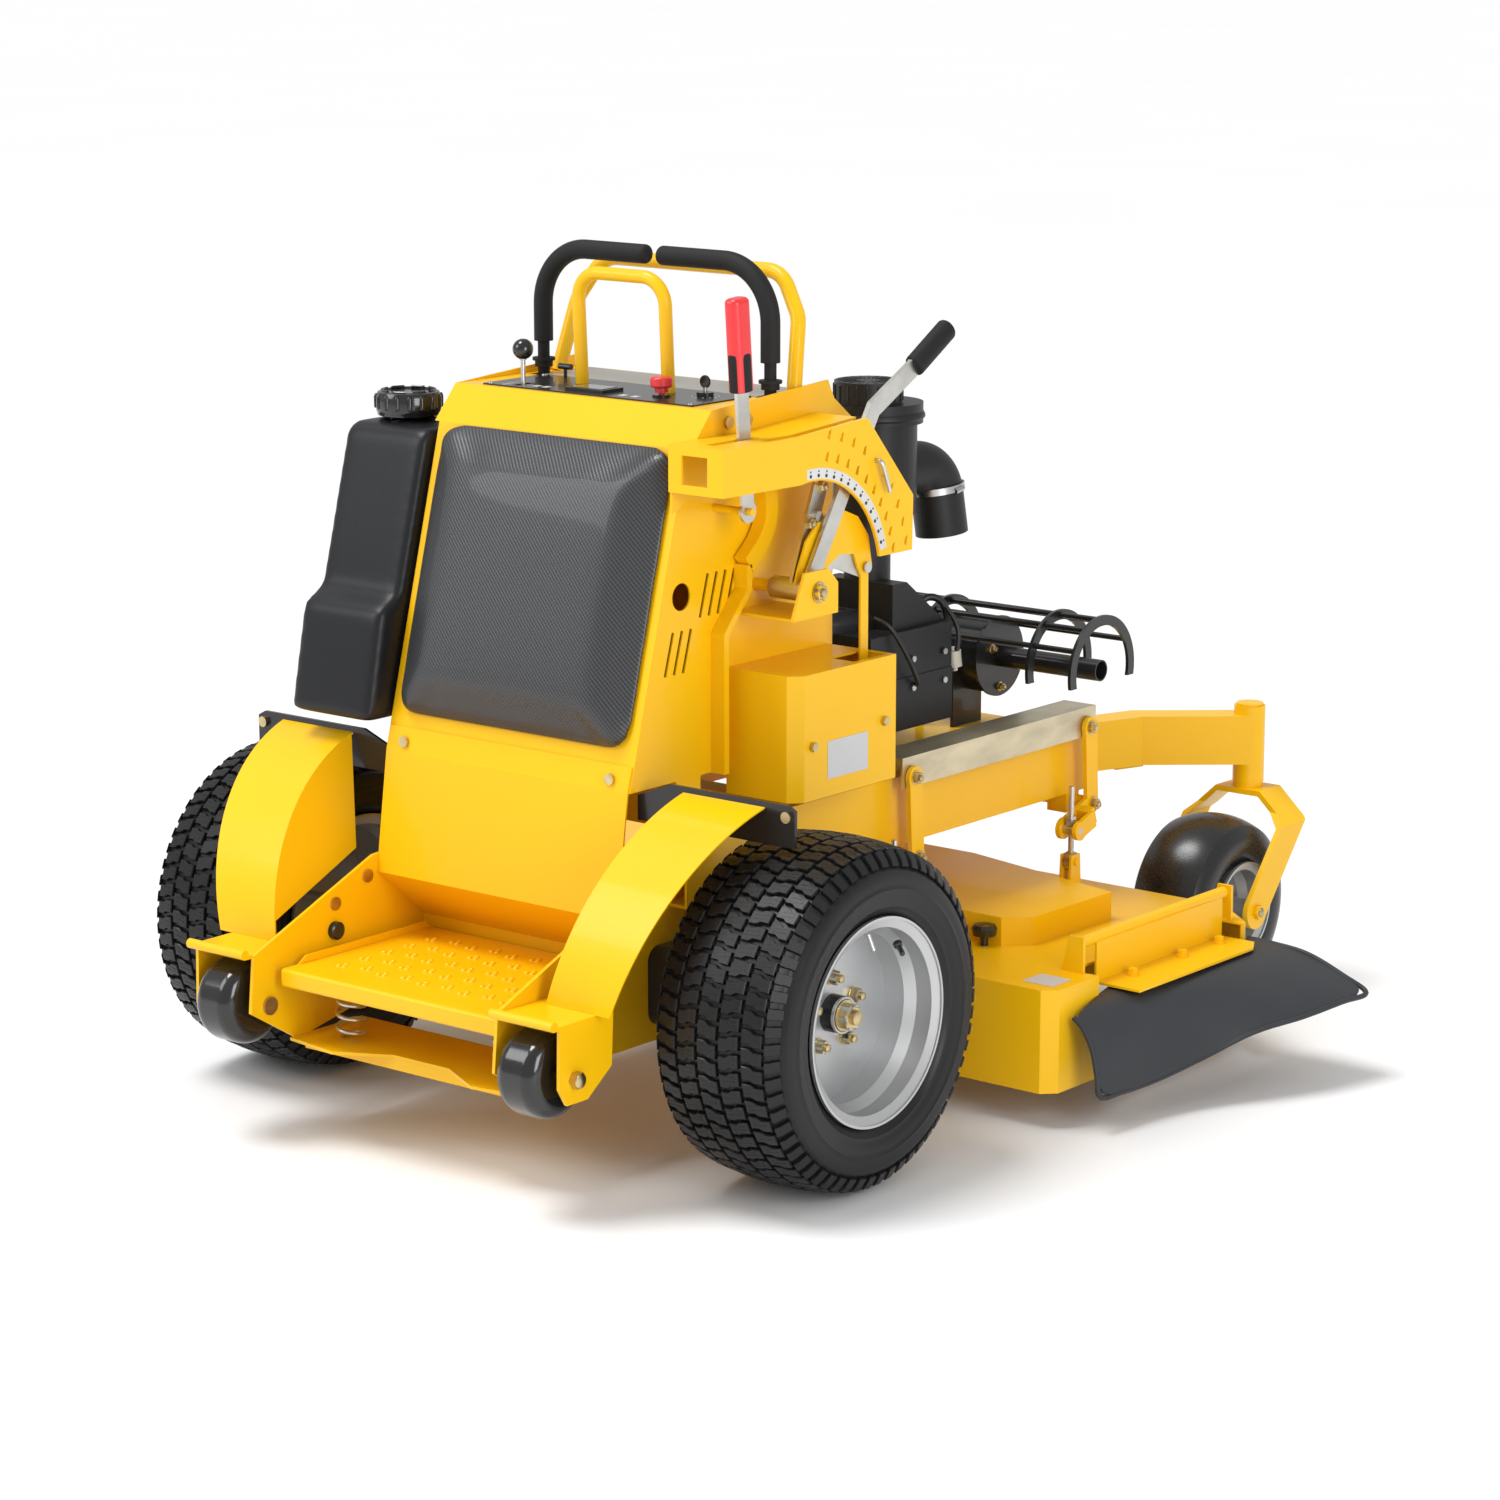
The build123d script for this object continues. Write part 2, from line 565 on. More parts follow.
def lower_rear_panel():
    """Panel under the pad, creased and then folded in to leave room for the feet."""
    path = [(tower_rear_y(PANEL_TOP), PANEL_TOP), (TOWER_REAR_LOW, BODY_Z)]
    path += [(-139, RAIL_Z), (-30, PLATFORM_Z + 20)]
    path += [(-30, PLATFORM_Z - 30)]
    return slab_x(-SIDE_X, SIDE_X, band(path, SHEET, -1))


def thigh_pad():
    """Plain closed solid of the knee and thigh pad on the tower's rear face."""
    lean = radians(TOWER_LEAN)
    plane = Plane((0, tower_rear_y(PAD_Z), PAD_Z), x_dir=(1, 0, 0), z_dir=(0, -cos(lean), sin(lean)))
    pad = extrude(plane * RectangleRounded(PAD_W, PAD_L, 45), PAD_T)
    front = pad.faces().sort_by(Axis((0, 0, 0), (0, -cos(lean), sin(lean))))[-1]
    return fillet(front.edges(), 26)


def console_housing():
    """Folded hood over the tower with slots for the levers and their pivots."""
    rear = tower_rear_y(TOWER_TOP)
    profile = [(rear, TOWER_TOP), (CONSOLE_REAR, CONSOLE_Z), (CONSOLE_FRONT, CONSOLE_Z)]
    profile += [(CONSOLE_FRONT + 67, TOWER_TOP + 6), (CONSOLE_FRONT + 67, TOWER_TOP)]
    hood = slab_x(-CONSOLE_HALF, CONSOLE_HALF, profile)
    inside = [(rear + 6, TOWER_TOP), (CONSOLE_REAR + 2, CONSOLE_Z - SHEET)]
    inside += [(CONSOLE_FRONT - 2, CONSOLE_Z - SHEET)]
    inside += [(CONSOLE_FRONT + 62, TOWER_TOP)]
    hood -= slab_x(-CONSOLE_HALF + SHEET, CONSOLE_HALF - SHEET, inside)
    cheek = [(CONSOLE_REAR, CONSOLE_Z), (CONSOLE_FRONT, CONSOLE_Z + 19)]
    cheek += [(CONSOLE_FRONT + 20, CONSOLE_Z - 20)]
    cheek += [(CONSOLE_FRONT - 20, CONSOLE_Z - 20)]
    for x in (CONSOLE_HALF - SHEET, -CONSOLE_HALF):
        hood += slab_x(x, x + SHEET, cheek)
    slot = block(LEVER_X - 14, LEVER_X + 14, LEVER_Y - 24, LEVER_Y + 24, CONSOLE_Z - SHEET, CONSOLE_Z)
    hood -= slot + left(slot)
    pin = rod_x(LEVER_X - 18, CONSOLE_HALF - 1, LEVER_Y, LEVER_PIVOT_Z, 6)
    hood += pin + left(pin)
    y = THROTTLE_Y
    hood -= block(THROTTLE_X - 7, THROTTLE_X + 7, y - 18, y + 18, CONSOLE_Z - SHEET, CONSOLE_Z)
    hang = block(THROTTLE_X - 18, THROTTLE_X - 13, y - 10, y + 10, CONSOLE_Z - 32, CONSOLE_Z - 1)
    hood += hang + rod_x(THROTTLE_X - 14, THROTTLE_X + 10, THROTTLE_Y, CONSOLE_Z - 22, 4)
    hood -= rod_z(CONSOLE_Z - SHEET, CONSOLE_Z, CHOKE_X, CHOKE_Y, 3 + RUN)
    hood -= rod_z(CONSOLE_Z - SHEET, CONSOLE_Z, PTO_X, PTO_Y, 5 + RUN)
    hood -= rod_z(CONSOLE_Z - SHEET, CONSOLE_Z, KEY_X, KEY_Y, 5 + RUN)
    return hood


def console_panel():
    """Black inset plate, hour meter, key switch collar and PTO collar."""
    z0 = CONSOLE_Z
    z1 = CONSOLE_Z + 2.5
    plate = block(-222, 222, CONSOLE_REAR + 12, 238, z0, z1)
    plate += block(-60, 20, 108, 160, z1 - 1, z1 + 5)
    plate += rod_z(z1 - 1, z1 + 7, KEY_X, KEY_Y, 14) + rod_z(z1 - 1, z1 + 3, PTO_X, PTO_Y, 15)
    plate -= block(THROTTLE_X - 7, THROTTLE_X + 7, THROTTLE_Y - 20, THROTTLE_Y + 20, z0, z1)
    plate -= rod_z(z0, z1 + 10, KEY_X, KEY_Y, 5 + RUN) + rod_z(z0, z1 + 10, PTO_X, PTO_Y, 5 + RUN)
    plate -= rod_z(z0, z1, CHOKE_X, CHOKE_Y, 3 + RUN)
    for x in (-92, 92):
        plate -= rod_z(z0, z1, x, 188, HOOP_R + 1)
    return plate


def grab_hoops():
    """Small rear hoop and wide front hoop, both standing on the console."""
    z = CONSOLE_Z
    top = z + 186
    rear = tube([(-92, 188, z), (-92, 178, top), (92, 178, top), (92, 188, z)], 45, HOOP_R)
    high = z + 190
    half = [(190, 357, high), (236, 342, z + 120), (252, 310, z)]
    route = [(-x, y, zz) for x, y, zz in half[::-1]] + half
    front = tube(route, 55, HOOP_R + 1.5)
    floor = block(-300, 300, 0, 500, z - 60, z)
    return group(rear - floor, front - floor)


def fuel_tank():
    """Moulded tank beside the tower, with a step halfway up and a filler neck."""
    z = TANK_Z
    outline = [(-148, z), (-112, z + 180), (-68, z + 205), (-2, z + 455)]
    outline += [(12, z + TANK_H), (200, z + TANK_H), (200, z)]
    tank = slab_x(TANK_X0, TANK_X1, outline, 9)
    ends = tank.faces().filter_by(Axis.X)
    tank = fillet(ends[0].edges() + ends[1].edges(), 8)
    neck = rod_z(z + TANK_H - 1, z + TANK_H + 33, NECK_X, NECK_Y, NECK_R)
    return tank + neck - rod_z(z + TANK_H - 30, z + TANK_H + 33, NECK_X, NECK_Y, NECK_R - 4)


def fuel_cap():
    """Large ribbed screw cap over the neck."""
    z = TANK_Z + TANK_H
    cap = rod_z(z + 9, z + 52, NECK_X, NECK_Y, CAP_R)
    cap = fillet(cap.edges().sort_by(Axis.Z)[-1], 8)
    cap -= rod_z(z + 9, z + 34, NECK_X, NECK_Y, NECK_R + 0.4)
    for i in range(18):
        turn = radians(20 * i)
        cap -= rod_z(z + 9, z + 40, NECK_X + CAP_R * cos(turn), NECK_Y + CAP_R * sin(turn), 3.5)
    return cap


def fender():
    """Curved strip behind the tyre with a leaning inner wall."""
    r = AXLE_Z + FENDER_GAP
    y0 = FENDER_BRACKET_Y
    top_z = AXLE_Z + sqrt(r * r - y0 * y0)
    ring = rod_x(250, 560, 0, AXLE_Z, r + SHEET) - rod_x(250, 560, 0, AXLE_Z, r)
    low = BUMPER_Z + PLATE
    ring &= block(250, 560, -r - 10, y0, low, top_z + 20)
    low_in = 291.0
    low_out = 418.0
    top_in = 357.0
    top_out = 520.0
    wedge = [(low_in, low), (low_out, low), (top_out, top_z + 12), (top_in, top_z + 12)]
    strip = ring & slab_y(-r - 10, y0, wedge)
    inner = [(low_in, low), (low_in + SHEET, low), (top_in + SHEET, top_z + 12), (top_in, top_z + 12)]
    wall = slab_y(-r - 10, y0, inner) & rod_x(250, 560, 0, AXLE_Z, r + SHEET)
    front_low = AXLE_Z + 152
    cut = [(y0, top_z + 20), (-132, front_low), (-r, low + 30), (-r - 10, low + 30), (-r - 10, top_z + 20)]
    wall &= slab_x(250, 560, cut)
    return strip + wall


def fender_brackets():
    """Black cross plates that carry the top of each fender."""
    z0 = TYRE_D
    outline = [(TOWER_HALF, z0), (575, z0), (575, z0 + 58), (560, z0 + 66)]
    outline += [(330, z0 + 66), (TOWER_HALF, z0 + 40)]
    return group(both(slab_y(FENDER_BRACKET_Y, FENDER_BRACKET_Y + PLATE, outline)))


def lever_quadrant():
    """Height quadrant, slotted top plate, windowed rear plate, pivot bracket and curved stay."""
    z = BODY_Z
    top_z = TOWER_TOP + 16
    ridge = [(-28, top_z), (167, top_z), (337, top_z + 11)]
    outline = ridge + [(460, z + 414), (458, z + 324), (300, z + 324)]
    outline += [(170, z + 400), (170, z + 464), (-28, z + 466)]
    x0 = QUAD_X
    x1 = QUAD_X + QUAD_T
    plate = slab_x(x0, x1, outline) - rod_x(x0, x1, LIFT_Y - 3, LIFT_Z, 177)
    for row_r in (215.0, 250.0):
        for i in range(10):
            turn = radians(PIN_TURN + HOLE_STEP * (i - 5))
            y = LIFT_Y - 3 + row_r * cos(turn)
            z_hole = LIFT_Z + row_r * sin(turn)
            if i == 5 and row_r > 240:
                plate -= rod_x(x0, x1, y, z_hole, 4 + RUN)
            else:
                arrow = [(-7, -5), (0, -9), (4, 8), (-2, 5)]
                plate -= slab_x(x0, x1, [(y + a, z_hole + b) for a, b in arrow])
    top = slab_x(CONSOLE_HALF, x0, band(ridge, 4, -1))
    top -= block(LIFT_X - 4, LIFT_X + 12, 90, 340, top_z - 21, top_z + 19)
    top -= block(BRAKE_X - 5, BRAKE_X + 11, 2, 118, top_z - 21, top_z + 19)
    rear = block(CONSOLE_HALF, x0, -28, -24, z + 466, top_z - 3)
    rear -= block(298, 350, -28, -24, z + 480, top_z - 15)
    corners = [(-24, z + 430), (-24, top_z - 3), (60, top_z - 3), (60, z + 470)]
    hanger = slab_x(CONSOLE_HALF, CONSOLE_HALF + 4, corners)
    side = (385.0, 390.0)
    cheek = slab_x(*side, [(135, z + 255), (250, z + 255), (250, z + 300), (225, z + 325), (165, z + 325)])
    shelf = block(TOWER_HALF, side[1], 135, 250, z + 251, z + 255)
    pivot = rod_x(TOWER_HALF, side[0], LIFT_Y, LIFT_Z, LIFT_PIN_R)
    pivot += hex_x(side[1], side[1] + 9, LIFT_Y, LIFT_Z, 24)
    pivot += rod_x(side[0] - 1, side[1] + 1, LIFT_Y, LIFT_Z, 8)
    brake_pin = rod_x(TOWER_HALF, BRAKE_X + 14, BRAKE_Y, BRAKE_Z, 6)
    bends = [(92, z), (92, z + 225), (150, z + 290), (150, z + 330)]
    stay = slab_x(TOWER_HALF, TOWER_HALF + 28, bar(bends, 12))
    cheek_set = cheek + shelf + pivot
    return group(plate + top + rear + hanger, cheek_set, brake_pin, stay)


def guard_box():
    """Folded guard beside the tower with an opening in its top for the lift strap."""
    z0 = RAIL_TOP + 40
    z1 = BODY_Z + 165
    x0 = TOWER_HALF
    plan = [(x0, 125), (385, 125), (405, 145), (405, 385), (x0, 385)]
    inner = [(x0 + 1, 128), (384, 128), (402, 146), (402, 382), (x0 + 1, 382)]
    box = slab_z(z0, z1, plan) - slab_z(z0, z1 - SHEET, inner)
    return box - block(342, 392, 290, 380, z1 - SHEET, z1)


# ================================================================ engine
def engine_block():
    """Vertical-shaft twin: crankcase, two finned cylinders and oil pan."""
    z = RAIL_TOP - 4
    case = rod_z(z, SHROUD_Z + 60, 0, ENGINE_Y, 125) + rod_z(z, z + 18, 0, ENGINE_Y, 165)
    for side in (-1, 1):
        for i in range(5):
            fin_z = z + 62 + 13 * i
            case += block(side * 150 - 55, side * 150 + 55, 585, 765, fin_z, fin_z + 5)
        case += block(side * 145 - 48, side * 145 + 48, 600, 750, z + 50, SHROUD_Z)
    return case - rod_z(z, z + 90, 0, ENGINE_Y, 16 + RUN)


def blower_housing():
    """Cooling shroud: round fan cover, side ducts over the cylinders and a sloped label hood."""
    z = SHROUD_Z + 60
    drum = rod_z(z, z + 70, 0, ENGINE_Y + 10, 165)
    drum = fillet(drum.edges().sort_by(Axis.Z)[-1], 18)
    for side in (-1, 1):
        outer = 220 if side > 0 else -130
        duct = block(side * 170 - 40, outer, 560, 790, z - 60, z + 40)
        drum += duct
        outer = (207, 222) if side > 0 else (-222, -207)
        skirt = block(*outer, 570, 790, z - 130, z - 40)
        drum += skirt
    hood = slab_x(60, 205, [(640, z + 40), (640, z + 120), (680, z + 120), (800, z + 30)])
    return drum + hood


def air_cleaner(housing):
    """Canister on the shroud, two-tier rain cap, and the intake elbow with its clamp ring."""
    z = SHROUD_Z + 130
    x = 120.0
    y = 700.0
    body = rod_z(z + 160, z + 316, x, y, 72)
    neck = rod_z(z, z + 161, x, y - 20, 40)
    cap = rod_z(z + 315, z + 350, x, y, 82) + rod_z(z + 350, z + 388, x, y - 20, 58)
    elbow = tube([(x, y, z + 225), (x + 14, 850, z + 225), (x + 24, 862, z + 105)], 55, 46)
    ring = Plane((x + 16, 852, z + 190), z_dir=(0.1, 0.1, -1))
    clamp = extrude(ring * Circle(50), 12)
    return body + neck + cap + elbow + clamp - housing


def muffler():
    """Drum across the front of the engine with end plate, saddles and straight tail pipe."""
    y = MUFFLER_Y
    z = MUFFLER_Z
    drum = rod_x(-180, 168, y, z, MUFFLER_R) + rod_x(168, 173, y, z, MUFFLER_R + 5)
    drum += rod_x(172, TAIL_END, y, z, TAIL_R)
    drum -= rod_x(120, TAIL_END, y, z, TAIL_R - 2.5)
    for x in (-150.0, 120.0):
        drum += block(x, x + 6, 925, 1010, RAIL_TOP - 4, z)
    return drum


def muffler_guard():
    """Cage of long rods and half-ring plates over the muffler and the tail pipe."""
    y = MUFFLER_Y
    z = MUFFLER_Z
    r = MUFFLER_R + 22
    cage = None
    for x in (-152.0, 60.0, 296.0, TAIL_END - 3):
        plate = rod_x(x, x + 6, y, z, r + 9) - rod_x(x, x + 6, y, z, r - 9)
        plate &= block(x, x + 6, y - 200, y + 200, z - 20, z + 200)
        cage = plate if cage is None else cage + plate
    for angle in (30, 60, 90, 120, 150):
        turn = radians(angle)
        cage += rod_x(-152, TAIL_END + 3, y + r * cos(turn), z + r * sin(turn), 5)
    for x in (-152.0, 60.0):
        cage += block(x, x + 6, y - r - 9, y - r + 9, RAIL_TOP - 4, z + 1)
    return cage


def clutch_pulley():
    """Crankshaft end with the blade clutch and its sheave."""
    z = RAIL_Z - 6
    shape = rod_z(z, RAIL_TOP + 60, 0, ENGINE_Y, 16) + rod_z(z + 30, z + 75, 0, ENGINE_Y, 72)
    for start in (z + 2, z + 20):
        shape += rod_z(start, start + 4, 0, ENGINE_Y, 66)
    return shape + rod_z(z + 2, z + 30, 0, ENGINE_Y, 55)


# ================================================================ controls
def drive_lever():
    """Bent steadying lever: hub, steel bar, base discs and foam grip (right hand)."""
    corner = (LEVER_X, LEVER_Y, LEVER_TOP)
    low = (LEVER_X, LEVER_Y, LEVER_PIVOT_Z + 8)
    shaft = tube([low, corner, (22, LEVER_Y, LEVER_TOP)], LEVER_BEND, LEVER_R)
    shaft += rod_x(LEVER_X - 14, LEVER_X + 14, LEVER_Y, LEVER_PIVOT_Z, 14)
    shaft += rod_z(CONSOLE_Z + 22, CONSOLE_Z + 27, LEVER_X, LEVER_Y, 19)
    shaft += rod_z(CONSOLE_Z + 12, CONSOLE_Z + 22, LEVER_X, LEVER_Y, 15)
    shaft -= rod_x(LEVER_X - 20, LEVER_X + 20, LEVER_Y, LEVER_PIVOT_Z, 6 + RUN)
    start = (LEVER_X, LEVER_Y, CONSOLE_Z + 55)
    grip = tube([start, corner, (22, LEVER_Y, LEVER_TOP)], LEVER_BEND, LEVER_GRIP_R, LEVER_R)
    cap = rod_x(12, 22, LEVER_Y, LEVER_TOP, LEVER_GRIP_R)
    cap = fillet(cap.edges().sort_by(Axis.X)[0], 8)
    return group(shaft, grip + cap)


def throttle_lever():
    z = CONSOLE_Z - 22
    rod = rod_z(z + 6, z + 72, THROTTLE_X, THROTTLE_Y, 4)
    rod += rod_x(THROTTLE_X - 6, THROTTLE_X + 6, THROTTLE_Y, z, 9)
    rod -= rod_x(THROTTLE_X - 8, THROTTLE_X + 8, THROTTLE_Y, z, 4 + RUN)
    return rod + Pos(THROTTLE_X, THROTTLE_Y, z + 82) * Sphere(17)


def choke_knob():
    z = CONSOLE_Z
    stem = rod_z(z - 40, z + 18, CHOKE_X, CHOKE_Y, 3)
    return stem + rod_x(CHOKE_X - 13, CHOKE_X + 13, CHOKE_Y, z + 20, 5)


def pto_knob():
    z = CONSOLE_Z
    knob = rod_z(z - 40, z + 12, PTO_X, PTO_Y, 5) + rod_z(z + 9, z + 18, PTO_X, PTO_Y, 11)
    return knob + fillet(rod_z(z + 17, z + 34, PTO_X, PTO_Y, 18).edges(), 4)


def ignition_key():
    z = CONSOLE_Z
    key = rod_z(z - 30, z + 14, KEY_X, KEY_Y, 5)
    return key + block(KEY_X - 12, KEY_X + 12, KEY_Y - 3, KEY_Y + 3, z + 13, z + 38)


def about_brake(shape):
    """Leans a shape drawn upright back about the brake lever's pivot."""
    return Pos(0, BRAKE_Y, BRAKE_Z) * (Rot(BRAKE_LEAN, 0, 0) * (Pos(0, -BRAKE_Y, -BRAKE_Z) * shape))


def brake_lever():
    x0 = BRAKE_X
    flat = block(x0, x0 + 6, BRAKE_Y - 14, BRAKE_Y + 14, BRAKE_Z, BRAKE_Z + 200)
    flat += rod_x(x0, x0 + 6, BRAKE_Y, BRAKE_Z, 18)
    return about_brake(flat - rod_x(x0, x0 + 6, BRAKE_Y, BRAKE_Z, 6 + RUN))


def brake_grip():
    x = BRAKE_X + 3
    z = BRAKE_Z + 192
    grip = block(x - 15, x + 15, BRAKE_Y - 20, BRAKE_Y + 20, z, z + 146)
    grip = fillet(grip.edges().filter_by(Axis.Z), 13)
    grip = fillet(grip.faces().sort_by(Axis.Z)[-1].edges(), 8)
    return about_brake(grip - block(x - 3, x + 3, BRAKE_Y - 14, BRAKE_Y + 14, z, BRAKE_Z + 200))


LIFT_ROUTE = [(LIFT_Y, LIFT_Z), (372, LIFT_Z + 272), (476, LIFT_Z + 327), (560, LIFT_Z + 377)]


def lift_lever():
    """Flat lever on a long hub, with the stop arm and the rocker that pulls the strap."""
    x0 = LIFT_X
    shape = slab_x(x0, x0 + 8, bar(LIFT_ROUTE[:3] + [(500, LIFT_Z + 341)], 30))
    shape += rod_x(300, x0 + 8, LIFT_Y, LIFT_Z, 18)
    shape += slab_x(340, 346, bar([(LIFT_Y, LIFT_Z), (262, LIFT_Z + 160)], 34))
    shape += rod_x(330, 356, 245, LIFT_Z + 112, 9)
    rivet = (365, LIFT_Z + 15)
    shape += slab_x(346, 351, bar([(LIFT_Y, LIFT_Z), (290, LIFT_Z + 42), rivet], 36))
    shape += rod_x(346, 351, *rivet, 18)
    shape += rod_x(351, 360, *rivet, 5) + rod_x(360, 363, *rivet, 9)
    return shape - rod_x(290, x0 + 20, LIFT_Y, LIFT_Z, LIFT_PIN_R + RUN)


def lift_grip():
    x = LIFT_X + 4
    path = Line((x, 478, LIFT_Z + 328), (x, 572, LIFT_Z + 384))
    grip = extrude(Plane(origin=path @ 0, z_dir=path % 0) * Ellipse(19, 17), path.length)
    grip = fillet(grip.edges(), 7)
    return grip - slab_x(LIFT_X, LIFT_X + 8, bar(LIFT_ROUTE[:3] + [(500, LIFT_Z + 341)], 30))


def lift_strap():
    """Flat strap that hangs from the rocker into the guard box."""
    y = 365.0
    z = LIFT_Z + 15
    strap = slab_x(351 + GAP, 355, [(y - 10, z - 255), (y + 10, z - 255), (y + 10, z), (y - 10, z)])
    strap += rod_x(351 + GAP, 355, y, z, 15)
    return strap - rod_x(351, 356, y, z, 5 + RUN)


def height_pin():
    turn = radians(PIN_TURN)
    y = LIFT_Y - 3 + 250 * cos(turn)
    z = LIFT_Z + 250 * sin(turn)
    end = QUAD_X + QUAD_T + 13
    return tube([(QUAD_X - 4, y, z), (end, y, z), (end, y + 22, z - 52)], 7, 4)


# ================================================================ deck
def deck_outline(inset):
    h = DECK_HALF - inset
    rear = DECK_REAR + inset
    front = DECK_FRONT - inset
    cut = 75 + inset * 0.4
    outline = [(-h + 22, rear), (h - 22, rear), (h, rear + 22), (h, front - cut), (h - cut - 15, front)]
    return outline + [(-h + cut + 15, front), (-h, front - cut), (-h, rear + 22)]


def deck_pin_y(pivot_y):
    """Deck pin under a trunnion, set in the middle of the trunnion's swing."""
    r = hypot(*CRANK_EAR)
    start = atan2(-CRANK_EAR[1], -CRANK_EAR[0])
    ends = [r * cos(start), r * cos(radians(CRANK_TURN) - start)]
    return pivot_y - (r + min(ends)) / 2


def deck_lift_height():
    r = hypot(*CRANK_EAR)
    start = atan2(-CRANK_EAR[1], -CRANK_EAR[0])
    return r * (sin(radians(CRANK_TURN) - start) + sin(start))


SPINDLES = {
    "left_spindle": (-SPINDLE_X, SPINDLE_Y),
    "centre_spindle": (0.0, SPINDLE_MID_Y),
    "right_spindle": (SPINDLE_X, SPINDLE_Y),
}


def deck_shell():
    """Open-bottomed cutting deck with discharge notch, lift ears and spindle housings."""
    z0 = DECK_Z
    z1 = DECK_TOP
    shell = slab_z(z0, z1, deck_outline(0)) - slab_z(z0, z1 - DECK_SHEET, deck_outline(DECK_SHEET))
    shell -= block(NOTCH_X, DECK_HALF + 5, NOTCH_REAR, NOTCH_FRONT, z0, z1)
    for x, y in SPINDLES.values():
        shell += rod_z(z1 - 46, z1, x, y, 45)
        shell -= rod_z(z1 - 46, z1, x, y, SHAFT_R + RUN)
    for pivot in (CRANK_FRONT_Y, CRANK_REAR_Y):
        y = deck_pin_y(pivot)
        ears = None
        for x0 in (HANGER_X - 12, HANGER_X + 7):
            corners = [(y - 18, z1), (y + 18, z1), (y + 13, EYE_Z + 13), (y - 13, EYE_Z + 13)]
            ear = slab_x(x0, x0 + 5, corners)
            ears = ear if ears is None else ears + ear
        pin = rod_x(HANGER_X - 16, HANGER_X + 16, y, EYE_Z, 6)
        shell += ears + pin + left(ears) + left(pin)
    x = CHUTE_HINGE_X
    z = CHUTE_HINGE_Z
    for y0 in (NOTCH_REAR - 9, NOTCH_FRONT + 3):
        shell += slab_y(y0, y0 + 6, [(x - 30, z1), (x + 14, z1), (x + 14, z + 12), (x - 14, z + 12)])
    return shell + rod_y(NOTCH_REAR - 4, NOTCH_FRONT + 4, x, z, 6)


def belt_covers():
    """Folded cover over the spindle pulleys and the belt."""
    z0 = DECK_TOP
    half = [(SPINDLE_X + 30, SPINDLE_Y - 72), (SPINDLE_X + 70, SPINDLE_Y - 35)]
    half += [(SPINDLE_X + 75, 880), (150, 960)]
    plan = half + [(-x, y) for x, y in half[::-1]]
    inner_half = [(x - SHEET, y + SHEET) for x, y in half[:2]] + [(SPINDLE_X + 75 - SHEET, 877), (149, 957)]
    inner = inner_half + [(-x, y) for x, y in inner_half[::-1]]
    return slab_z(z0, z0 + COVER_H, plan) - slab_z(z0, z0 + COVER_H - SHEET, inner)


def spindle(x, y):
    """Shaft with sheave above the deck and blade below."""
    z = DECK_TOP
    shaft = rod_z(DECK_Z + 12, z + 34, x, y, SHAFT_R)
    groove = rod_z(z + 14, z + 26, x, y, PULLEY_R) - rod_z(z + 14, z + 26, x, y, GROOVE_R)
    sheave = rod_z(z + 10, z + 30, x, y, PULLEY_R) - groove
    blade = block(x - BLADE_R, x + BLADE_R, y - 31, y + 31, DECK_Z + 20, DECK_Z + 26)
    blade &= rod_z(DECK_Z + 20, DECK_Z + 26, x, y, BLADE_R)
    return shaft + sheave + blade + rod_z(DECK_Z + 14, DECK_Z + 40, x, y, 30)


def deck_belt():
    """Belt round the three deck sheaves."""
    z = DECK_TOP + 14.5

    def loop(r):
        circles = [Pos(x, y) * Circle(r) for x, y in SPINDLES.values()]
        return make_hull([edge for circle in circles for edge in circle.edges()])

    ring = loop(PULLEY_R + 2) - loop(GROOVE_R + GAP)
    return extrude(Pos(0, 0, z) * ring, 11)


def chute_bracket():
    """Hinged steel bracket of the discharge chute."""
    x = CHUTE_HINGE_X
    z = CHUTE_HINGE_Z
    shape = rod_y(NOTCH_REAR + 2, NOTCH_FRONT - 2, x, z, 10)
    shape += block(x + 4, x + 8, 604, 985, FLANGE_Z - 4, z)
    flange = [(x + 4, 604), (FLANGE_OUT, 604), (FLANGE_OUT, 950), (FLANGE_OUT - 20, 985), (x + 4, 985)]
    shape += slab_z(FLANGE_Z - 4, FLANGE_Z, flange)
    shape -= rod_y(NOTCH_REAR, NOTCH_FRONT, x, z, 6 + RUN)
    for y in CHUTE_BOLTS:
        shape += rod_z(FLANGE_Z - 1, FLANGE_Z + 4, CHUTE_BOLT_X, y, 10)
        shape += hex_z(FLANGE_Z + 3, FLANGE_Z + 12, CHUTE_BOLT_X, y, 14)
    return shape




def rubber_chute():
    """Flared rubber deflector: flat tongue under the flange, deep at the rear, wide in front."""
    z = FLANGE_Z - 4
    t = 6.0
    start = DECK_HALF + 6
    drop = DECK_TOP - 236.0
    sections = [
        (485.0, (735, 185), (764, 62)),
        (640.0, (745, 195), (790, 72)),
        (780.0, (790, 190), (868, 130)),
        (1045.0, (820, 196), (CHUTE_REACH, 150)),
    ]
    faces = []
    for y, knee, tip in sections:
        path = [(start, z), (knee[0], knee[1] + drop), (tip[0], tip[1] + drop)]
        outline = band(path, t, -1)
        plane = Plane((0, y, 0), x_dir=(1, 0, 0), z_dir=(0, -1, 0))
        faces.append(plane * Polygon(*outline, align=None))
    flare = loft(faces, ruled=True)
    tongue = block(CHUTE_HINGE_X + 10, start + 20, 610, 985, z - t, z)
    return flare + tongue


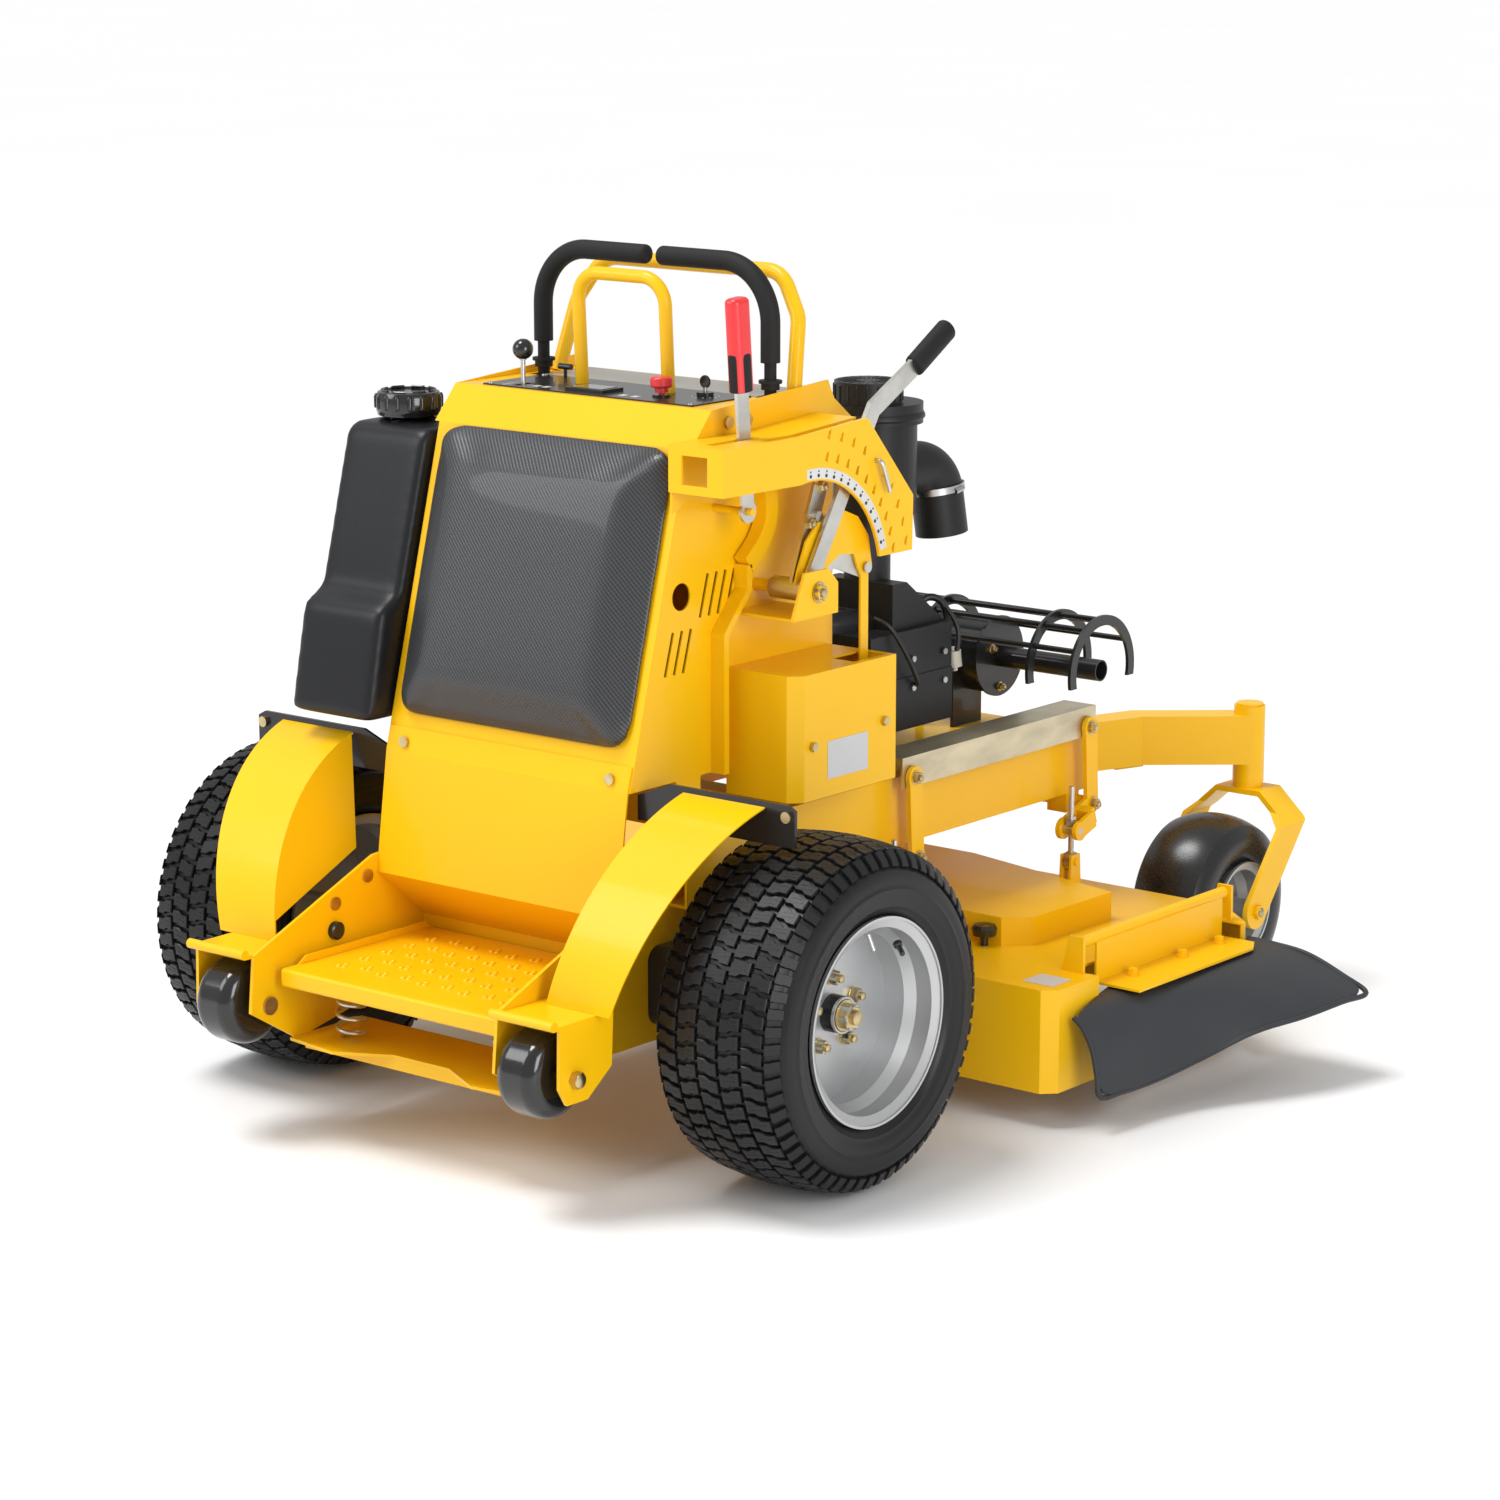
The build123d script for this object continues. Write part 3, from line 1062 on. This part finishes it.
def lift_shaft(pivot_y):
    """Cross shaft with a crank plate and trunnion ears on each side."""
    z = CRANK_Z
    pin = (pivot_y + CRANK_PIN[0], z + CRANK_PIN[1])
    ear = (pivot_y + CRANK_EAR[0], z + CRANK_EAR[1])
    x0 = CRANK_X
    x1 = x0 + CRANK_T
    crank = slab_x(x0, x1, bar([pin, (pivot_y, z)], 34)) + slab_x(x0, x1, bar([(pivot_y, z), ear], 34))
    for y, zz in (pin, (pivot_y, z), ear):
        crank += rod_x(x0, x1, y, zz, 19)
    outer = 2 * HANGER_X - x0
    far = slab_x(outer - CRANK_T, outer, bar([(pivot_y - 42, z - 15), ear], 30))
    far += rod_x(outer - CRANK_T, outer, *ear, 17)
    bridge = bar([(pivot_y - 30, z - 11), (pivot_y - 48, z - 17)], 30)
    crank += far + slab_x(x1 - 1, outer - CRANK_T + 1, bridge)
    crank -= rod_x(x0, outer, *ear, 6 + RUN)
    crank -= slab_x(x1, outer - CRANK_T, bar([(ear[0] - 40, ear[1]), (pivot_y - 60, ear[1])], 80))
    crank += rod_x(0, x1 + 3, pivot_y, z, CRANK_SHAFT_R)
    shape = crank + left(crank)
    bolt = rod_x(x0 - 13, x0, *pin, 6) + hex_x(x0 - 13, x0 - 5 - GAP, *pin, 17)
    bolt += hex_x(x1, x1 + 7, *pin, 17)
    return shape + bolt


def deck_hangers():
    """Four threaded hangers: trunnion in the crank ears, eye round the deck pin."""
    parts = []
    for pivot in (CRANK_FRONT_Y, CRANK_REAR_Y):
        y = pivot + CRANK_EAR[0]
        z = TRUNNION_Z
        reach = HANGER_X - CRANK_X
        inner = reach - CRANK_T - GAP
        shape = rod_x(HANGER_X - inner, HANGER_X + inner, y, z, 9)
        shape += rod_x(HANGER_X - reach, HANGER_X + reach, y, z, 6)
        shape += rod_z(EYE_Z + 12, z + 78, HANGER_X, y, 5) + hex_z(z + 8, z + 18, HANGER_X, y, 17)
        shape += hex_z(z + 19, z + 25, HANGER_X, y, 17)
        shape += rod_x(HANGER_X - 6, HANGER_X + 6, y, EYE_Z, 6 + EYE_PLAY + 7)
        shape -= rod_x(HANGER_X - 6, HANGER_X + 6, y, EYE_Z, 6 + EYE_PLAY)
        parts += both(shape)
    return group(parts)


def lift_link():
    """Angle-section link over the right rail that ties the two cranks."""
    z = CRANK_Z + CRANK_PIN[1]
    x1 = CRANK_X - 1
    y0 = CRANK_REAR_Y + CRANK_PIN[0]
    y1 = CRANK_FRONT_Y + CRANK_PIN[0]
    flange = block(x1 - 4, x1, y0 - 26, y1 + 26, z - 17, z + 35)
    top = block(TOWER_HALF, x1, y0 - 26, y1 + 26, z + 31, z + 35)
    for y in (y0, y1):
        flange -= rod_x(x1 - 4, x1, y, z, 6 + RUN)
    return flange + top


# ================================================================ fasteners
def dome_bolt(x0, x1, y, z, r=5.0):
    """Carriage bolt along X through a plate: domed head at x0's side, nut at x1's side."""
    inward = -1 if x1 > x0 else 1
    low, high = sorted((x0, x1))
    shank = rod_x(low, high, y, z, r)
    head = rod_x(*sorted((x0, x0 + inward * 4)), y, z, 11)
    nut = hex_x(*sorted((x1, x1 - inward * 8)), y, z, 16)
    return shank + head + nut


def bolt_list():
    """Every chassis bolt, with the straight hole it needs."""
    bolts = []
    holes = []
    for y, z in ((-242, RAIL_Z - 36), (-166, RAIL_Z - 4)):
        bolts += both(dome_bolt(SIDE_X, SIDE_X + PLATE, y, z))
        holes += both(rod_x(SIDE_X, SIDE_X + PLATE, y, z, 5))
    axle = rod_x(SIDE_X, BUMPER_X, ROLLER_Y, ROLLER_Z, 8)
    axle += rod_x(SIDE_X - 5, SIDE_X, ROLLER_Y, ROLLER_Z, 15)
    axle += hex_x(BUMPER_X, BUMPER_X + 12, ROLLER_Y, ROLLER_Z, 24)
    bolts += both(axle)
    for y, z in ((165, BODY_Z + 48), (352, BODY_Z + 60)):
        bolts.append(hex_x(405, 413, y, z, 14) + rod_x(402, 405, y, z, 5))
        holes.append(rod_x(402, 405, y, z, 5))
    for y, z in ((118, TOWER_TOP + 34), (165, TOWER_TOP + 34)):
        x = CONSOLE_HALF
        bolts += both(rod_x(x, x + 5, y, z, 10) + rod_x(x - SHEET, x, y, z, 4))
        holes += both(rod_x(x - SHEET, x, y, z, 4))
    for x, z in ((221, BODY_Z + 18), (561, TYRE_D + 48)):
        y = tower_rear_y(z) - SHEET * 1.03 if x < TOWER_HALF else FENDER_BRACKET_Y
        head = rod_y(y - 6, y, x, z, 9)
        deep = y + 2 if x < TOWER_HALF else y + PLATE
        bolts += both(head + rod_y(y - 1, deep, x, z, 4))
        head_end = y + 1 if x < TOWER_HALF else y
        holes += both(rod_y(y - 1, deep, x, z, 4) + rod_y(y - 6, head_end, x, z, 9))
    return bolts, holes


def drilled(shape, holes):
    return group([solid - Compound([s for h in holes for s in h.solids()]) for solid in shape.solids()])


def main():
    os.makedirs("parts", exist_ok=True)
    bolts, holes = bolt_list()
    save("frame_bolts", group(bolts))
    for name, shape in {
        "main_frame": main_frame(),
        "rear_side_plates": rear_side_plates(),
        "lower_rear_panel": lower_rear_panel(),
        "tower_shell": tower_shell(),
        "console_housing": console_housing(),
        "console_panel": console_panel(),
        "fender_brackets": fender_brackets(),
        "lever_quadrant": lever_quadrant(),
        "guard_box": guard_box(),
    }.items():
        save(name, drilled(shape, holes))
    save("thigh_pad", thigh_pad())
    save("fuel_tank", fuel_tank())
    save("fuel_cap", fuel_cap())
    save("grab_hoops", grab_hoops())
    save("fenders", group(both(fender())))
    save("engine_block", engine_block())
    housing = blower_housing()
    save("blower_housing", housing)
    save("air_cleaner", air_cleaner(housing))
    save("muffler", muffler())
    save("muffler_guard", muffler_guard())
    save("hydro_transmissions", hydro_transmissions())
    save("clutch_pulley", clutch_pulley())

    casing = tyre(TYRE_D, TYRE_W, BEAD_R, TYRE_WALL, TYRE_CROWN)
    rim = drive_rim()
    right = Pos(WHEEL_X, 0, AXLE_Z)
    save("right_tyre", right * casing)
    save("left_tyre", left(right * casing))
    save("right_rim", right * rim)
    save("left_rim", left(right * rim))
    small = tyre(CASTER_D, CASTER_W, CASTER_BEAD_R, TYRE_WALL, CASTER_CROWN)
    for side, name in ((-1, "left"), (1, "right")):
        place = Pos(side * CASTER_X, CASTER_Y - CASTER_TRAIL, CASTER_D / 2)
        save(f"{name}_caster_tyre", place * small)
        save(f"{name}_caster_rim", place * caster_rim())
        save(f"{name}_caster_fork", caster_fork(side * CASTER_X))
        save(f"{name}_roller", Pos(side * ROLLER_X, ROLLER_Y, ROLLER_Z) * roller())

    save("platform", platform())
    save("platform_springs", platform_springs())
    lever = drive_lever()
    save("right_drive_lever", lever)
    save("left_drive_lever", left(lever))
    save("throttle_lever", throttle_lever())
    save("choke_knob", choke_knob())
    save("pto_knob", pto_knob())
    save("ignition_key", ignition_key())
    save("brake_lever", brake_lever())
    save("brake_grip", brake_grip())
    save("lift_lever", lift_lever())
    save("lift_grip", lift_grip())
    save("lift_strap", lift_strap())
    save("height_pin", height_pin())

    save("deck_shell", deck_shell())
    save("belt_covers", belt_covers())
    save("deck_belt", deck_belt())
    for name, (x, y) in SPINDLES.items():
        save(name, spindle(x, y))
    save("chute_bracket", chute_bracket())
    save("rubber_chute", rubber_chute())
    save("front_lift_shaft", lift_shaft(CRANK_FRONT_Y))
    save("rear_lift_shaft", lift_shaft(CRANK_REAR_Y))
    save("deck_hangers", deck_hangers())
    save("lift_link", lift_link())
    print("deck lift", round(deck_lift_height(), 2), "mm; nodes", len(os.listdir("parts")))


main()
